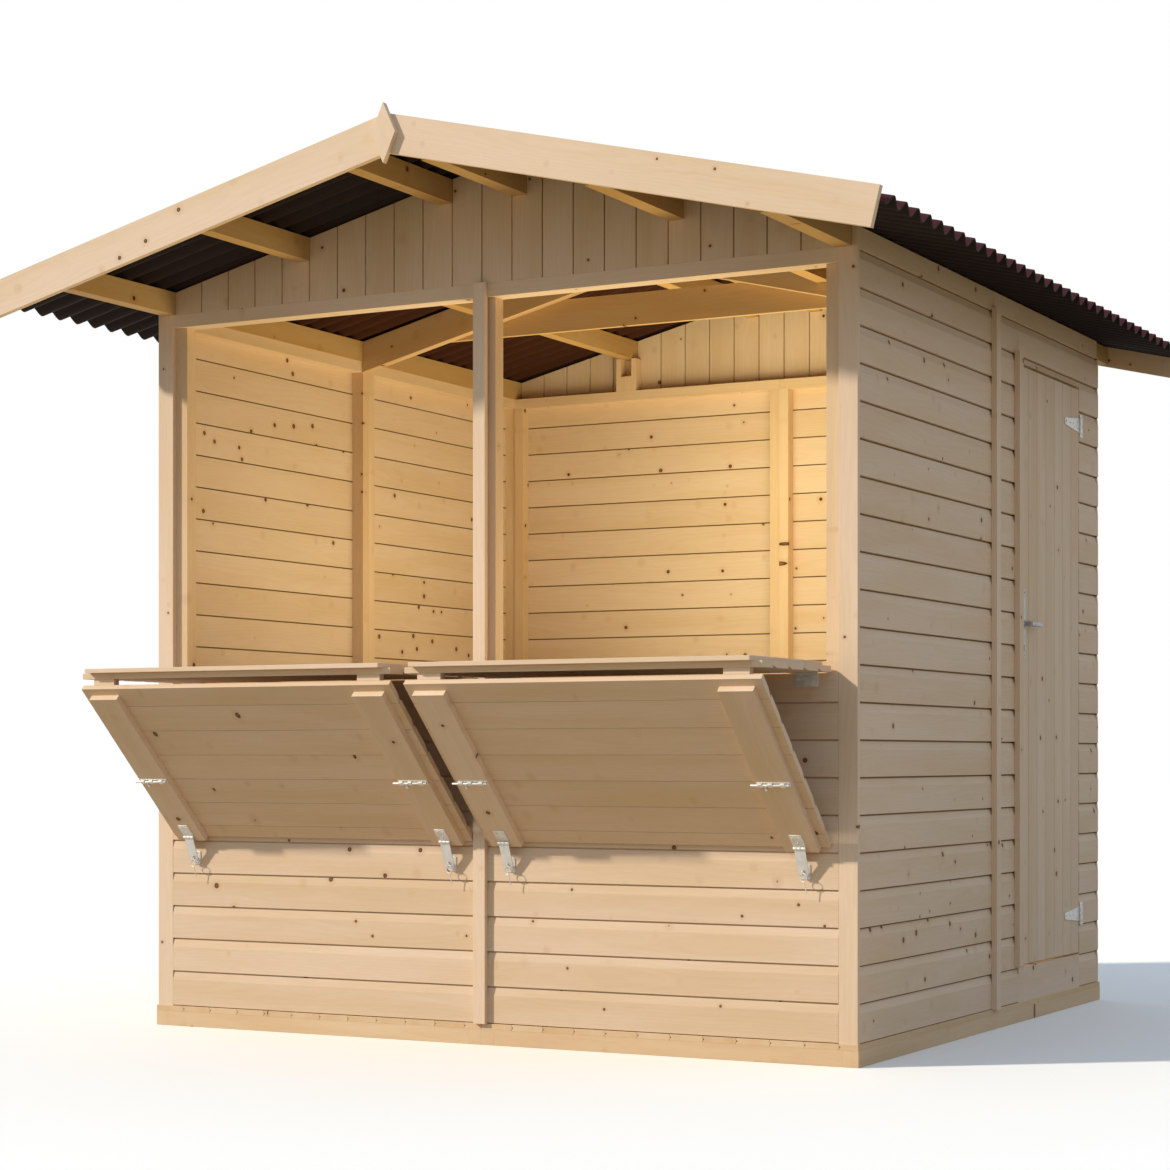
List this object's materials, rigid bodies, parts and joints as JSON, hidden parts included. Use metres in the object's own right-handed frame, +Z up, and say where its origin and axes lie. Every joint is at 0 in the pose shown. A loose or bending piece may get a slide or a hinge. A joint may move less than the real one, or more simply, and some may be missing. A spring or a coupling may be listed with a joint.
{
  "type": "wooden market hut",
  "caption": "Small gable-roofed timber market hut with two folding serving shutters at the front and a boarded side door.",
  "frame": {"origin": "on the ground under the middle of the overall box", "axes": "+X to the right along the serving front, +Y from the front to the back, +Z up"},
  "size_m": [2.7376, 2.7564, 2.4699],
  "materials": {
    "pine_front": "satin",
    "pine_frame": "satin",
    "bitumen_sheet": "matte",
    "zinc_steel": "satin",
    "handle_metal": "satin"
  },
  "bodies": {
    "hut": {"back_gable": "pine_front", "back_left_cladding": "pine_front", "back_right_cladding": "pine_front", "back_studs": "pine_frame", "barge_boards_left": "pine_front", "barge_boards_right": "pine_front", "bottom_rails": "pine_frame", "counter_hinges": "zinc_steel", "counter_left": "pine_front", "counter_right": "pine_front", "counter_tops": "pine_front", "cover_strips": "pine_front", "deck_left": "pine_frame", "deck_right": "pine_frame", "door_rear_cladding": "pine_front", "door_side_cladding": "pine_front", "finials": "pine_front", "floor_bearers": "pine_frame", "floor_joists": "pine_frame", "front_gable": "pine_front", "front_headers": "pine_front", "front_left_cladding": "pine_front", "front_right_cladding": "pine_front", "front_studs": "pine_frame", "front_trims": "pine_front", "hasp_staples": "zinc_steel", "hinge_plates": "zinc_steel", "left_front_cladding": "pine_front", "left_rear_cladding": "pine_front", "left_studs": "pine_frame", "over_door_cladding": "pine_front", "purlin_seats": "pine_frame", "purlins": "pine_frame", "ridge_cap": "bitumen_sheet", "right_front_cladding": "pine_front", "right_studs": "pine_frame", "roof_sheet_left": "bitumen_sheet", "roof_sheet_right": "bitumen_sheet", "shutter_battens": "pine_front", "shutter_blocks": "pine_front", "shutter_bolts": "zinc_steel", "shutter_hasps": "zinc_steel", "shutter_left": "pine_front", "shutter_right": "pine_front", "sill_rails": "pine_frame", "top_rails": "pine_frame", "truss_rafters": "pine_frame", "truss_tie": "pine_frame", "under_door_board": "pine_front"},
    "door": {"door_leaf": "pine_front", "door_ledges": "pine_frame", "door_straps": "zinc_steel", "door_handle": "handle_metal"}
  },
  "joints": [
    {"name": "door_swing", "type": "hinge", "parent": "hut", "child": "door", "pos_m": [1.1114, 0.973, 1.06], "axis": [0, 0, 1], "range_deg": [0, 100]}
  ]
}
